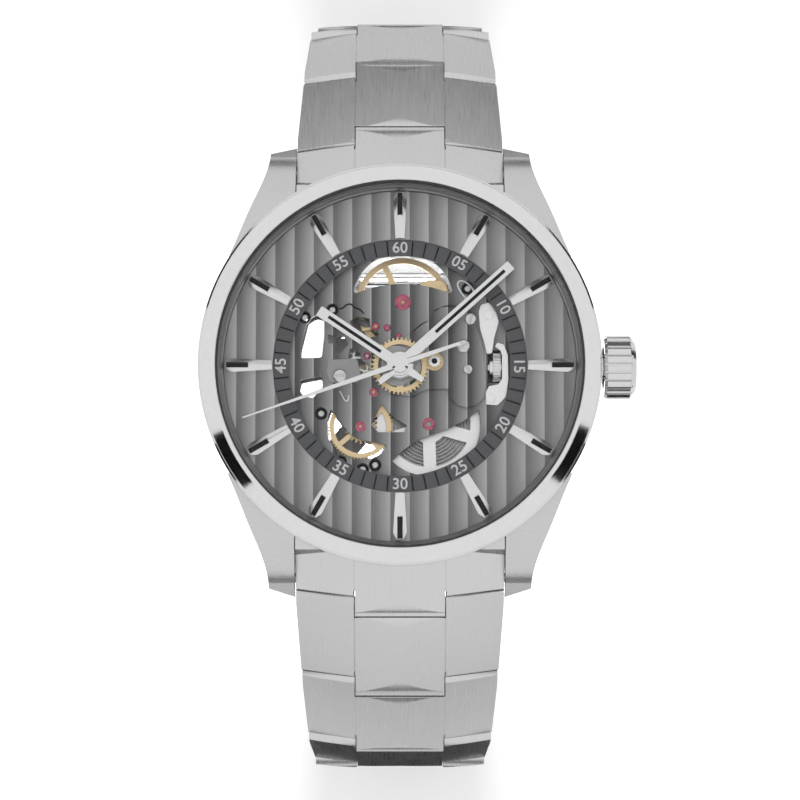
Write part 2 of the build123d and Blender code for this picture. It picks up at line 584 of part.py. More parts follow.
def rotor_axle():
    """The fixed core of the rotor's bearing, part of the bridge."""
    return disc(1.22, 1.5, 2.7) - disc(0.2, 2.4, 4)


# ---------------------------------------------------------------- bracelet
def strand_width(n):
    """Width of the bracelet at pivot n, counted from the case."""
    return 18.0 + 3.8 * max(0.0, 1 - n / 4) ** 1.2


def flank(w0, w1, u0, u1):
    """Everything inside the tapering sides and under the rounded top of one link."""
    plan = face([(-w0 / 2, 0), (-w1 / 2, PITCH), (w1 / 2, PITCH), (w0 / 2, 0)])
    lead = face([(-w0 / 2, u0), (-w0 / 2, 0), (w0 / 2, 0), (w0 / 2, u0)])
    tail = face([(-w1 / 2, PITCH), (-w1 / 2, u1), (w1 / 2, u1), (w1 / 2, PITCH)])
    block_all = extrude(Plane.XY.offset(-3) * (plan + lead + tail), 6)
    lift = CROWNING_R - LINK_T / 2
    round_top = Pos(0, 5, -lift) * Rot(90, 0, 0) * Cylinder(CROWNING_R, 40)
    return block_all & round_top


def strip(u0, u1, half):
    """A bar across the strand from u0 to u1, its top rounded down towards both ends."""
    t = LINK_T / 2
    curve = [(ROUND_L * (1 - cos(radians(a))), ROUND_H * (1 - sin(radians(a)))) for a in range(0, 91, 9)]
    near = [(u0 + along, t - drop) for along, drop in curve]
    far = [(u1 - along, t - drop) for along, drop in reversed(curve)]
    return across([(u0, -t)] + near + far + [(u1, -t)], half)


def link_body(w0, w1, near_pin=True):
    """One link in its own frame: near pivot at the origin, far pivot at (0, PITCH, 0)."""
    t = LINK_T / 2
    outer = strip(-0.76, PITCH - 0.92, 12)
    outer += rod_x(KNUCKLE_R, -12, 12, 0, 0) & block(-13, 13, -2, 2, -t, t - ROUND_H)
    outer -= rod_x(SEAT_R, -13, 13, PITCH, 0)
    outer -= block(-CENTRE_HALF_W, CENTRE_HALF_W, -3, PITCH + 3, -3, 3)
    centre = strip(0.92, PITCH + 0.7, CENTRE_HALF_W) - rod_x(SEAT_R, -6, 6, 0, 0)
    knuckle = rod_x(KNUCKLE_R, -CENTRE_HALF_W, CENTRE_HALF_W, PITCH, 0)
    centre += knuckle & block(-6, 6, 5, 12, -t, t - ROUND_H)
    sides = [block(s * CENTRE_HALF_W - 0.07, s * CENTRE_HALF_W + 0.07, PITCH - SEAT_R, PITCH + 3, -3, 3)
             for s in (1, -1)]
    grooves = [Pos(s * CENTRE_HALF_W, 5, t - 0.02) * Rot(0, 45, 0) * Box(0.3, 30, 0.3) for s in (1, -1)]
    body = (outer + centre) & flank(w0, w1, -3, PITCH + 3)
    body = body - sides - grooves - rod_x(PIN_R + 0.05, -6, 6, PITCH, 0)
    if near_pin:
        body -= rod_x(PIN_R + 0.01, -w0 / 2 + 0.8, w0 / 2 - 0.8, 0, 0)
    return body


def pin(width):
    return rod_x(PIN_R, -width / 2 + 0.85, width / 2 - 0.85, 0, 0)


def place(shape, y, z, slope, side):
    """Puts a link's frame at a pivot; side -1 is the 6 o'clock strand."""
    turned_round = Rot(0, 0, 0 if side > 0 else 180)
    return turned_round * (Pos(0, y, z) * (Rot(-slope, 0, 0) * shape))


def pivots():
    points = [PIVOT_0]
    for slope in LINK_SLOPES:
        y, z = points[-1]
        points.append((y + PITCH * cos(radians(slope)), z - PITCH * sin(radians(slope))))
    return points


def end_link():
    """The solid end link: curved against the case, between the lugs, with the first knuckle."""
    t = LINK_T / 2
    body = link_body(21.8, strand_width(0), near_pin=False) & block(-13, 13, 3.0, 20, -5, 5)
    body = Pos(0, PIVOT_0[0], PIVOT_0[1]) * (Rot(-END_LINK_SLOPE, 0, 0) * (Pos(0, -PITCH, 0) * body))
    slope = tan(radians(END_LINK_SLOPE))
    top = PIVOT_0[1] + t / cos(radians(END_LINK_SLOPE))
    wedge = across([(15.0, 1.5), (15.0, min(7.9, top + (PIVOT_0[0] - 15.0) * slope)),
                    (19.2, top + (PIVOT_0[0] - 19.2) * slope), (20.3, 4.0), (21.2, 1.5)], 10.9)
    body = (body + wedge) & block(-10.9, 10.9, 10, 30, 0.6, 12)
    body -= disc(CASE_R + 0.2, -1, 12)
    body -= block(-14, 14, 10, 30, 8.35, 12)
    return body - rod_x(SPRING_BAR_R + 0.03, -13, 13, SPRING_BAR_Y, SPRING_BAR_Z)


def spring_bars():
    bar = rod_x(SPRING_BAR_R, -10.8, 10.8, SPRING_BAR_Y, SPRING_BAR_Z)
    bar += rod_x(0.5, -12.4, 12.4, SPRING_BAR_Y, SPRING_BAR_Z)
    return [bar, Rot(0, 0, 180) * bar]


# ---------------------------------------------------------------- clasp
# The clasp lies under the wrist. It hangs from the 6 o'clock strand at CLASP_B and folds
# three times: inner blade to HINGE_2, outer blade back to HINGE_1, cover forward to CLASP_A.
CLASP_A_Y, CLASP_Z = pivots()[-1]
HINGE_2 = (CLASP_A_Y - 5.0, CLASP_Z - 0.9)
HINGE_1 = (-CLASP_A_Y + 5.0, CLASP_Z - 2.2)
BLADE_HALF_W = 4.2
COVER_HALF_W = 8.6
COVER_Z = (CLASP_Z - 4.5, CLASP_Z - 3.4)


def clasp_blade_inner():
    (y2, z2), z, y_b = HINGE_2, CLASP_Z, -CLASP_A_Y
    body = block(-6.2, 6.2, y_b + 3.2, y2 - 1.2, z - 0.45, z + 0.35)
    body += pair(4.95, 6.15, y_b, y_b + 4.0, z - 0.85, z + 0.35)
    body += pair_rod(0.85, 4.95, 6.15, y_b, z)
    body += pair(4.8, 6.2, y2 - 2, y2, z - 0.85, z + 0.35)
    body += pair_rod(0.75, 4.8, 6.2, y2, z2)
    body -= block(-3.0, 3.0, -9, 8, z - 2, z + 2)
    body -= [rod_x(0.36, -6, 6, y2, z2), rod_x(0.5, -5.9, 5.9, y_b, z)]
    return [body, rod_x(0.35, -5.95, 5.95, y2, z2)]


def clasp_blade_outer():
    (y1, z1), (y2, z2) = HINGE_1, HINGE_2
    half = BLADE_HALF_W
    body = block(-half, half, y1 + 1.0, y2, z2 - 1.15, z2 - 0.55)
    body += [rod_x(0.75, -4.7, 4.7, y2, z2), rod_x(0.7, -half, half, y1, z1)]
    body += block(-half, half, y1, y1 + 2, z1 - 0.1, z1 + 0.7)
    body -= block(-2.0, 2.0, -9, 9, z2 - 2, z2 + 2)
    body -= [rod_x(0.4, -6, 6, y2, z2), rod_x(0.36, -5, 5, y1, z1)]
    return body


def clasp_cover():
    """Bevelled cover plate with side walls; its eyes reach round the last link's tongue."""
    z0, z1 = COVER_Z
    (y1, z_1), y_a = HINGE_1, CLASP_A_Y
    plan = Pos(0, (y1 + y_a - 3.4) / 2) * Rectangle(2 * COVER_HALF_W, y_a - y1 - 0.5)
    shell = extrude(Plane.XY.offset(z0) * fillet(plan.vertices(), 1.2), z1 - z0)
    shell = chamfer(shell.faces().sort_by(Axis.Z)[0].edges(), 0.5)
    body = shell + pair(7.3, 8.5, y1 + 2, HINGE_2[0] - 1, z1 - 0.1, z1 + 2.6)
    body += pair(4.95, 6.15, y_a - 3.4, y_a - 2.0, z1 - 0.1, CLASP_Z + 0.35)
    body += pair(4.95, 6.15, y_a - 3.4, y_a, CLASP_Z - 0.85, CLASP_Z + 0.35)
    body += pair_rod(0.85, 4.95, 6.15, y_a, CLASP_Z)
    body += pair(4.35, 5.85, y1 - 0.7, y1 + 0.7, z1 - 0.1, z_1)
    body += pair_rod(0.7, 4.35, 5.85, y1, z_1)
    body -= [rod_x(0.5, -5.9, 5.9, y_a, CLASP_Z), rod_x(0.31, -5.7, 5.7, y1, z_1)]
    body -= block(-9, 9, -2.1, 2.1, z1 + 0.3, z1 + 1.9)
    return [body, rod_x(0.3, -5.65, 5.65, y1, z_1)]


def clasp_button(side):
    z = COVER_Z[1]
    body = block(6.5, 9.2, -2.0, 2.0, z + 0.4, z + 1.8) + block(6.5, 7.1, -3.2, 3.2, z + 0.4, z + 1.8)
    return body if side > 0 else mirror(body, Plane.YZ)


# ---------------------------------------------------------------- write
def solids_of(shape):
    if isinstance(shape, (list, tuple)):
        return [s for item in shape for s in solids_of(item)]
    return list(shape.solids())


def save(name, shape):
    export_step(Compound(children=solids_of(shape)), "parts/" + name + ".step")


def main():
    os.makedirs("parts", exist_ok=True)
    pieces = {
        "case_middle": case_middle(), "bezel": bezel(), "crystal": crystal(), "gaskets": gaskets(),
        "dial_flange": dial_flange(), "case_back": case_back(),
        "back_crystal": disc(BACK_GLASS_R, 0.0, 1.2), "movement_ring": movement_ring(),
        "crown_tube": crown_tube(), "crown": crown(), "winding_stem": winding_stem(),
        "crown_gasket": crown_gasket(), "dial": dial(), "hour_markers": hour_markers(),
        "hour_hand": hour_hand(), "minute_hand": minute_hand(), "seconds_hand": seconds_hand(),
        "main_plate": main_plate(), "motion_bridge": motion_bridge(),
        "train_bridge": [train_bridge() + rotor_axle()], "balance_bridge": balance_bridge(),
        "barrel": barrel(), "mainspring": mainspring(), "barrel_arbor": barrel_arbor(),
        "great_wheel": great_wheel(), "third_wheel": third_wheel(), "fourth_wheel": fourth_wheel(),
        "centre_wheel": centre_wheel(), "escape_wheel": escape_wheel(), "pallet_fork": pallet_fork(),
        "balance_wheel": balance_wheel(), "hairspring": hairspring(), "hour_wheel": hour_wheel(),
        "minute_wheel": minute_wheel(), "winding_pinion": winding_pinion(),
        "setting_lever": setting_lever(), "yoke": yoke(), "jewels": jewels(),
        "movement_screws": movement_screws(), "rotor": rotor(), "spring_bars": spring_bars(),
        "clasp_cover": clasp_cover(), "clasp_blade_outer": clasp_blade_outer(),
        "clasp_blade_inner": clasp_blade_inner(), "button_right": clasp_button(1),
        "button_left": clasp_button(-1),
    }
    first = end_link()
    pieces["end_link_12"] = first
    pieces["end_link_6"] = Rot(0, 0, 180) * first
    joints = pivots()
    for n, slope in enumerate(LINK_SLOPES):
        width = strand_width(n)
        shape = link_body(width, strand_width(n + 1)) + pin(width)
        for side, strand in ((1, "12"), (-1, "6")):
            pieces["link_%s_%d" % (strand, n + 1)] = place(shape, *joints[n], slope, side)
    for name, shape in pieces.items():
        save(name, shape)


main()
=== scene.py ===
from math import cos, pi, radians, sin, sqrt

import bmesh
import bpy
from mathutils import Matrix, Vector

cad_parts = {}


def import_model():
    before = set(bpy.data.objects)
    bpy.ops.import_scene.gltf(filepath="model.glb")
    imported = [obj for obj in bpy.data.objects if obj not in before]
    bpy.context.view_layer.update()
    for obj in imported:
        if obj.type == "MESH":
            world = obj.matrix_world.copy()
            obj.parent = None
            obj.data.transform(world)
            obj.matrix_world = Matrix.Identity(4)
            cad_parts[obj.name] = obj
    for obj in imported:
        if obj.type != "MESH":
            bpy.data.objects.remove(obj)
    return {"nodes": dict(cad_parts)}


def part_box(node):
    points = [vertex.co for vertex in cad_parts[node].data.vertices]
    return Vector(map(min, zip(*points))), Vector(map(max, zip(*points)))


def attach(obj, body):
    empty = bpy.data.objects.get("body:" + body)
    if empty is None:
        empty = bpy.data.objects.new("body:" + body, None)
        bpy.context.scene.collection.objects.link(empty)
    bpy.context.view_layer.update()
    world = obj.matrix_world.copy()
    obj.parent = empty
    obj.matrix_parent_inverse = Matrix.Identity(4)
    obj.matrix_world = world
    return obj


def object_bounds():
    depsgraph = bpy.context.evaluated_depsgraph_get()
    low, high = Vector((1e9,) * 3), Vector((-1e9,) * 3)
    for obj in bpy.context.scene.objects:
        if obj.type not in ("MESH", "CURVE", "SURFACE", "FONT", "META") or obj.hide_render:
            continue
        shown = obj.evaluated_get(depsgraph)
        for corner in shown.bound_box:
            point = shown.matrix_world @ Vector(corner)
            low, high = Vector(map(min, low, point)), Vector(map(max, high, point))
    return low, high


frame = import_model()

CAD_BOX = [list(corner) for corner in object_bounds()]

# Everything is in metres, in the watch's own frame: +Z leaves the dial, +Y is 12 o'clock and +X
# the crown. Sizes of added pieces are written in millimetres and turned into metres by MM.
MM = 0.001


def top_of(node):
    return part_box(node)[1].z


# ------------------------------------------------------------------ places read from the frame
DIAL_TOP = top_of("dial")
DIAL_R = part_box("dial")[1].x
STRIPE = 2.01 * MM                  # pitch of the vertical stripes on dial and plates
STRIPE_SHIFT = 50.5                 # half a stripe, and whole ones that keep the phase positive
TRACK_OUT_R, TRACK_IN_R = 13.3 * MM, 11.56 * MM
TRACK_TOP = DIAL_TOP - 0.2 * MM     # the minute track lies sunk below the dial
HOUR_TURN, MINUTE_TURN = 304.0, 48.0    # degrees clockwise from 12 o'clock, at rest


# ------------------------------------------------------------------ material helpers
class Shader:
    """A material with one Principled shader and short calls for the nodes around it."""

    def __init__(self, name, **sockets):
        self.mat = bpy.data.materials.new(name)
        self.mat.use_nodes = True
        self.nodes = self.mat.node_tree.nodes
        self.links = self.mat.node_tree.links
        self.bsdf = self.nodes["Principled BSDF"]
        for key, value in sockets.items():
            self.bsdf.inputs[key.replace("_", " ")].default_value = value

    def add(self, kind, inputs=(), **settings):
        node = self.nodes.new("ShaderNode" + kind)
        for key, value in settings.items():
            setattr(node, key, value)
        for key, value in dict(inputs).items():
            self.feed(node.inputs[key], value)
        return node

    def feed(self, socket, value):
        if isinstance(value, bpy.types.NodeSocket):
            self.links.new(value, socket)
        else:
            socket.default_value = value

    def place(self):
        return self.add("TexCoord").outputs["Object"]

    def axes(self):
        split = self.add("SeparateXYZ", {"Vector": self.place()})
        return split.outputs["X"], split.outputs["Y"], split.outputs["Z"]

    def math(self, operation, a, b=0.0):
        node = self.add("Math", {0: a, 1: b}, operation=operation)
        return node.outputs[0]

    def stripe_phase(self):
        """0 at each stripe's left edge, rising to 1 at its right edge."""
        x = self.axes()[0]
        return self.math("FRACT", self.math("ADD", self.math("DIVIDE", x, STRIPE), STRIPE_SHIFT))

    def noise(self, scale, detail=3.0, rough=0.55):
        """Noise whose grain is 1 / scale metres, with one scale or one for each axis."""
        if isinstance(scale, float):
            scale = (scale,) * 3
        mapping = self.add("Mapping", {"Vector": self.place(), "Scale": scale})
        node = self.add("TexNoise", {"Vector": mapping.outputs[0], "Scale": 1.0, "Detail": detail,
                                     "Roughness": rough})
        return node.outputs["Fac"]

    def fit(self, value, low, high, from_low=0.0, from_high=1.0):
        node = self.add("MapRange", {"Value": value, "From Min": from_low, "From Max": from_high,
                                     "To Min": low, "To Max": high})
        return node.outputs[0]

    def ramp(self, value, stops):
        node = self.add("ValToRGB", {"Fac": value})
        points = node.color_ramp.elements
        while len(points) < len(stops):
            points.new(0.5)
        for point, (at, colour) in zip(points, stops):
            point.position = at
            point.color = (*colour, 1.0)
        return node.outputs["Color"]

    def greys(self, value, *stops):
        """A ramp through greys, given as (position, tone)."""
        return self.ramp(value, [(at, (tone,) * 3) for at, tone in stops])

    def mix(self, factor, a, b):
        node = self.add("Mix", data_type="RGBA")
        for key, value in ((0, factor), (6, a), (7, b)):
            self.feed(node.inputs[key], value)
        return node.outputs[2]

    def set(self, socket, value):
        self.feed(self.bsdf.inputs[socket], value)

    def bump(self, height, strength, distance, edge=0.0):
        """Relief from a height, over edges rounded by the radius edge."""
        inputs = {"Height": height, "Strength": strength, "Distance": distance}
        if edge:
            rounded = self.add("Bevel", {"Radius": edge}, samples=4)
            inputs["Normal"] = rounded.outputs[0]
        self.set("Normal", self.add("Bump", inputs).outputs[0])


def warmed(tone, warm):
    """A grey that leans to red by the share warm."""
    return (tone * (1 + warm), tone, tone * (1 - warm))


def brushed_steel(name, tone, rough, grain, edge=0.12 * MM):
    """Steel with fine brush lines: grain is the noise scale along X, Y and Z."""
    s = Shader(name, Metallic=1.0, Roughness=rough)
    lines = s.noise(grain, 4.0, 0.7)
    broad = s.noise(90.0, 2.0)
    s.set("Base Color", s.mix(0.5, s.greys(lines, (0.3, tone * 0.86), (0.7, min(1.0, tone * 1.1))),
                              s.greys(broad, (0.3, tone * 0.96), (0.7, tone * 1.02))))
    s.set("Roughness", s.fit(lines, rough - 0.06, rough + 0.08, 0.3, 0.7))
    s.bump(lines, 0.22, 0.02 * MM, edge)
    return s.mat


def polished_steel(name, tone, rough=0.09, edge=0.1 * MM):
    s = Shader(name, Metallic=1.0, Roughness=rough)
    haze = s.noise(1500.0, 4.0)
    s.set("Base Color", s.greys(haze, (0.35, tone * 0.97), (0.65, tone)))
    s.set("Roughness", s.fit(haze, rough * 0.7, rough * 1.4, 0.3, 0.7))
    s.bump(haze, 0.03, 0.01 * MM, edge)
    return s.mat


UPRIGHT_GRAIN = (9000.0, 500.0, 9000.0)     # brush lines that run along the stripes


def stripes_with_painted_shade(name, dark, light, metallic, rough, warm=0.0, edge=0.0, edge_glint=1.0):
    """Vertical stripes, each with painted shade on its left rising to a painted highlight on its right."""
    s = Shader(name, Metallic=metallic, Roughness=rough)
    # The stops are painted light: painted shade at the left, a painted highlight at 0.93 and a painted
    # glint at the right edge, edge_glint times the light tone.
    stops = ((0.0, dark), (0.2, dark * 1.15), (0.55, (dark + light) / 2), (0.93, light),
             (0.97, min(1.0, light * edge_glint)))
    shade = s.ramp(s.stripe_phase(), [(at, warmed(tone, warm)) for at, tone in stops])
    grain = s.noise(UPRIGHT_GRAIN, 4.0, 0.7)
    s.set("Base Color", s.mix(0.16, shade, s.greys(grain, (0.3, dark), (0.7, light))))
    s.set("Roughness", s.fit(grain, rough - 0.05, rough + 0.1, 0.3, 0.7))
    s.bump(grain, 0.12, 0.02 * MM, edge)
    return s.mat


def bridge_and_cover(name, dark, light, plain, split_x):
    """The motion bridge's stripes, and the plain grey of the small cover plate left of split_x."""
    s = Shader(name, Metallic=0.5, Roughness=0.45)
    # Painted shade on each stripe's left, a painted highlight on its right and a painted glint, 1.5 times
    # the light tone, at its right edge.
    stripes = s.greys(s.stripe_phase(), (0.0, dark), (0.2, dark * 1.15), (0.93, light), (0.97, light * 1.5))
    grain = s.noise(UPRIGHT_GRAIN, 4.0, 0.7)
    cover = s.greys(grain, (0.3, plain * 0.92), (0.7, plain))
    on_cover = s.math("LESS_THAN", s.axes()[0], split_x)
    s.set("Base Color", s.mix(on_cover, stripes, cover))
    s.set("Roughness", s.fit(grain, 0.4, 0.52, 0.3, 0.7))
    s.bump(grain, 0.12, 0.02 * MM, 0.04 * MM)
    return s.mat


def gilt(name, colour, rough):
    s = Shader(name, Metallic=1.0, Roughness=rough)
    grain = s.noise(4000.0, 5.0, 0.7)
    darker = tuple(c * 0.86 for c in colour)
    s.set("Base Color", s.ramp(grain, [(0.3, darker), (0.7, colour)]))
    s.set("Roughness", s.fit(grain, rough - 0.06, rough + 0.1, 0.3, 0.7))
    s.bump(grain, 0.1, 0.02 * MM)
    return s.mat


def clear_crystal(name):
    """Coated sapphire: almost nothing but a faint gloss, with a little unevenness in it."""
    s = Shader(name, Alpha=0.05, IOR=1.77)
    s.set("Base Color", (0.06, 0.07, 0.09, 1.0))
    s.set("Roughness", s.fit(s.noise(60.0, 1.0), 0.01, 0.03))
    return s.mat


def lacquer(name, tone, rough=0.25):
    """A matt print or lacquer with very little gloss."""
    s = Shader(name, Coat_Weight=0.04, Specular_IOR_Level=0.12)
    speck = s.noise(8000.0, 3.0)
    s.set("Base Color", s.greys(speck, (0.3, tone * 0.8), (0.7, tone * 1.1)))
    s.set("Roughness", s.fit(speck, rough, rough + 0.1))
    return s.mat


def ruby(name):
    s = Shader(name, Roughness=0.06, Coat_Weight=0.6, Transmission_Weight=0.25, IOR=1.76)
    cloud = s.noise(2500.0, 2.0)
    s.set("Base Color", s.ramp(cloud, [(0.3, (0.36, 0.012, 0.05)), (0.7, (0.62, 0.05, 0.16))]))
    return s.mat


def rubber(name):
    s = Shader(name, Roughness=0.6)
    grain = s.noise(6000.0, 4.0)
    s.set("Base Color", s.greys(grain, (0.3, 0.012), (0.7, 0.03)))
    s.bump(grain, 0.2, 0.02 * MM)
    return s.mat


def track_and_dial(name):
    """Dial ring: warm grey outside, a dark brushed band where the minute track is sunk."""
    s = Shader(name, Metallic=0.55)
    grain = s.noise((9000.0, 600.0, 9000.0), 4.0, 0.7)
    in_track = s.math("LESS_THAN", s.axes()[2], DIAL_TOP - 0.1 * MM)
    dial = s.ramp(grain, [(0.3, (0.29, 0.28, 0.28)), (0.7, (0.36, 0.35, 0.35))])
    track = s.ramp(grain, [(0.3, (0.08, 0.08, 0.083)), (0.7, (0.105, 0.105, 0.11))])
    s.set("Base Color", s.mix(in_track, dial, track))
    s.set("Roughness", s.fit(grain, 0.38, 0.5))
    s.bump(grain, 0.1, 0.02 * MM)
    return s.mat


def pale_paper(name):
    s = Shader(name, Roughness=0.8)
    s.set("Base Color", s.greys(s.noise(30.0, 2.0), (0.3, 0.93), (0.7, 0.95)))
    return s.mat


# ------------------------------------------------------------------ materials
MATERIALS = {
    "case": brushed_steel("case_steel", 0.56, 0.3, (900.0, 12000.0, 9000.0)),
    "link": brushed_steel("link_steel", 0.6, 0.3, (13000.0, 260.0, 260.0)),
    "polished": polished_steel("polished_steel", 0.64),
    "bezel": polished_steel("bezel_steel", 0.68, 0.06, 0.15 * MM),
    "hands": polished_steel("hand_steel", 0.78, 0.12, 0.03 * MM),
    "crystal": clear_crystal("sapphire"),
    "rubber": rubber("gasket_rubber"),
    "flange": brushed_steel("flange_steel", 0.34, 0.35, (3000.0, 3000.0, 9000.0), 0.05 * MM),
    "dial": track_and_dial("dial_ring"),
    # The dial, plate and bridge stripes below have painted shade and painted highlights across each stripe,
    # and painted glints where the light tone is raised.
    "stripes": stripes_with_painted_shade("dial_stripes_and_painted_shade", 0.16, 0.46, 0.5, 0.45, 0.012),
    "plate": stripes_with_painted_shade("plate_stripes_and_painted_shade", 0.06, 0.36, 0.5, 0.45, 0.0, 0.04 * MM, 1.5),
    "motion": bridge_and_cover("motion_stripes_and_painted_shade", 0.06, 0.34, 0.33, -3.3 * MM),
    "bridge": stripes_with_painted_shade("bridge_stripes_and_painted_shade", 0.25, 0.45, 0.8, 0.4),
    "lever": brushed_steel("lever_steel", 0.85, 0.35, 5000.0, 0.05 * MM),
    "dark_steel": brushed_steel("dark_steel", 0.3, 0.35, 5000.0, 0.04 * MM),
    "grey_steel": brushed_steel("grey_steel", 0.38, 0.45, 5000.0, 0.05 * MM),
    "gilt": gilt("gilt_brass", (0.84, 0.66, 0.4), 0.4),
    "ruby": ruby("ruby"),
    "black": lacquer("black_lacquer", 0.006),
    "black_card": lacquer("card_black", 0.004, 0.9),
    "grey_card": lacquer("grey_card", 0.16, 0.9),
    "floor": pale_paper("pale_floor"),
    "white": lacquer("white_print", 0.66, 0.5),
    "spacer": brushed_steel("spacer_steel", 0.2, 0.45, 3000.0),
}

NODE_MATERIALS = {
    "case": ["case_middle", "case_back"],
    "link": ["end_link_12", "end_link_6", "clasp_cover"],
    "polished": ["crown", "crown_tube", "winding_stem", "spring_bars", "clasp_blade_outer",
                 "clasp_blade_inner", "button_left", "button_right", "movement_screws"],
    "bezel": ["bezel"],
    "hands": ["hour_markers", "hour_hand", "minute_hand", "seconds_hand"],
    "crystal": ["crystal", "back_crystal"],
    "rubber": ["gaskets", "crown_gasket"],
    "flange": ["dial_flange"],
    "dial": ["dial"],
    "plate": ["main_plate"],
    "motion": ["motion_bridge"],
    "bridge": ["train_bridge", "balance_bridge", "rotor"],
    "lever": ["barrel", "setting_lever", "yoke", "winding_pinion", "escape_wheel"],
    "dark_steel": ["mainspring", "barrel_arbor", "hairspring"],
    "gilt": ["great_wheel", "third_wheel", "fourth_wheel", "centre_wheel", "hour_wheel",
             "minute_wheel", "pallet_fork", "balance_wheel"],
    "ruby": ["jewels"],
    "spacer": ["movement_ring"],
}


def paint(obj, key):
    obj.data.materials.clear()
    obj.data.materials.append(MATERIALS[key])


def paint_nodes():
    for key, names in NODE_MATERIALS.items():
        for name in names:
            paint(frame["nodes"][name], key)
    for name, node in frame["nodes"].items():
        if name.startswith("link_"):
            paint(node, "link")


# ------------------------------------------------------------------ mesh helpers
def link_object(name, data, material=None):
    """A new object in the scene over mesh, curve, light or camera data."""
    obj = bpy.data.objects.new(name, data)
    bpy.context.scene.collection.objects.link(obj)
    if material:
        paint(obj, material)
    return obj


def mesh_object(name, bm, material):
    mesh = bpy.data.meshes.new(name)
    bm.to_mesh(mesh)
    bm.free()
    return link_object(name, mesh, material)


def piece(name, bm, body, material):
    """A piece of the watch that rides on a body of the CAD model."""
    bmesh.ops.recalc_face_normals(bm, faces=bm.faces)
    obj = mesh_object(name, bm, material)
    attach(obj, body)
    return obj


def bevelled(obj, width, segments=2):
    mod = obj.modifiers.new("rounding", "BEVEL")
    mod.width = width
    mod.segments = segments
    mod.limit_method = "ANGLE"
    return obj


def add_prism(bm, outline, z0, z1):
    """A closed flat prism over an outline of (x, y) points."""
    low = [bm.verts.new((x, y, z0)) for x, y in outline]
    high = [bm.verts.new((x, y, z1)) for x, y in outline]
    bm.faces.new(list(reversed(low)))
    bm.faces.new(high)
    for n in range(len(outline)):
        m = (n + 1) % len(outline)
        bm.faces.new((low[n], low[m], high[m], high[n]))


def radial_bar(turn, r0, r1, width):
    """Outline of a bar along the radius that lies turn degrees clockwise from 12 o'clock."""
    out = Vector((sin(radians(turn)), cos(radians(turn))))
    side = Vector((out.y, -out.x)) * width / 2
    return [out * r0 - side, out * r0 + side, out * r1 + side, out * r1 - side]


# ------------------------------------------------------------------ dial
def dial_stripes_and_painted_shade():
    """The dial's raised skin: each stripe is a shallow wave, cut to the ring between two circles."""
    outer, inner = DIAL_R - 0.02 * MM, TRACK_OUT_R + 0.04 * MM
    steps = 8
    columns = []
    count = int(2 * outer / STRIPE * steps)
    for n in range(count + 1):
        x = -outer + 2 * outer * n / count
        phase = (x / STRIPE + STRIPE_SHIFT) % 1.0
        columns.append((x, DIAL_TOP + 0.01 * MM + 0.05 * MM * (1 - (2 * phase - 1) ** 2)))
    bm = bmesh.new()
    for half in (1, -1):
        rows = []
        for x, z in columns:
            far = sqrt(max(outer ** 2 - x ** 2, 0.0))
            near = sqrt(max(inner ** 2 - x ** 2, 0.0))
            rows.append([bm.verts.new((x, half * (near + (far - near) * k / 3), z)) for k in range(4)])
        for a, b in zip(rows, rows[1:]):
            for k in range(3):
                bm.faces.new((a[k], b[k], b[k + 1], a[k + 1]))
    bmesh.ops.remove_doubles(bm, verts=bm.verts, dist=1e-6)
    bmesh.ops.recalc_face_normals(bm, faces=bm.faces)
    walls = bmesh.ops.extrude_face_region(bm, geom=bm.faces[:])
    for v in (e for e in walls["geom"] if isinstance(e, bmesh.types.BMVert)):
        v.co.z = DIAL_TOP + 0.002 * MM
    return piece("dial_stripes_and_painted_shade", bm, "case", "stripes")


def minute_ticks():
    """The bars of the minute track, left out where a numeral stands."""
    bm = bmesh.new()
    gap = 0.12 * MM
    for minute in range(60):
        if minute % 5:
            bar = radial_bar(6 * minute, TRACK_IN_R + gap, TRACK_OUT_R - gap, 0.17 * MM)
            add_prism(bm, bar, TRACK_TOP, TRACK_TOP + 0.02 * MM)
    return piece("minute_ticks", bm, "case", "black")


def numerals():
    """Minutes 05 to 60 in the track, the lower ones turned to stay upright."""
    r = (TRACK_OUT_R + TRACK_IN_R) / 2
    for n in range(12):
        turn = 30 * n
        name = "numeral_%02d" % (5 * n or 60)
        curve = bpy.data.curves.new(name, "FONT")
        curve.body = name[-2:]
        curve.size = 1.62 * MM
        curve.align_x = "CENTER"
        curve.align_y = "CENTER"
        curve.extrude = 0.012 * MM
        curve.space_character = 1.02
        curve.offset = 0.018 * MM
        obj = link_object(name, curve, "white")
        obj.location = (r * sin(radians(turn)), r * cos(radians(turn)), TRACK_TOP + 0.014 * MM)
        obj.rotation_euler.z = -radians(turn - 180 if 90 < turn < 270 else turn)
        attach(obj, "case")


def marker_inlays():
    """Black bars let into the outer part of the hour markers."""
    bm = bmesh.new()
    base = DIAL_TOP + 0.4 * MM
    inner, outer, width = 15.85 * MM, 18.12 * MM, 0.54 * MM
    for n in range(12):
        add_prism(bm, radial_bar(30 * n, inner, outer, width), base, base + 0.3 * MM)
    return bevelled(piece("marker_inlays", bm, "case", "black"), 0.03 * MM)


def hand_inlay(node, body, turn, r0, r1):
    """The black strip along a hand, from radius r0 to r1."""
    bm = bmesh.new()
    z = top_of(node)
    add_prism(bm, radial_bar(turn, r0, r1, 0.35 * MM), z - 0.12 * MM, z + 0.02 * MM)
    return bevelled(piece(node + "_inlay", bm, body, "black"), 0.03 * MM)


# ------------------------------------------------------------------ movement
def round_outline(at, r, count=40, waves=0, depth=0.0):
    """A circle of points, or a lobed circle when waves are given."""
    points = []
    for n in range(count):
        turn = 2 * pi * n / count
        reach = r + depth * cos(waves * turn)
        points.append((at[0] + reach * cos(turn), at[1] + reach * sin(turn)))
    return points


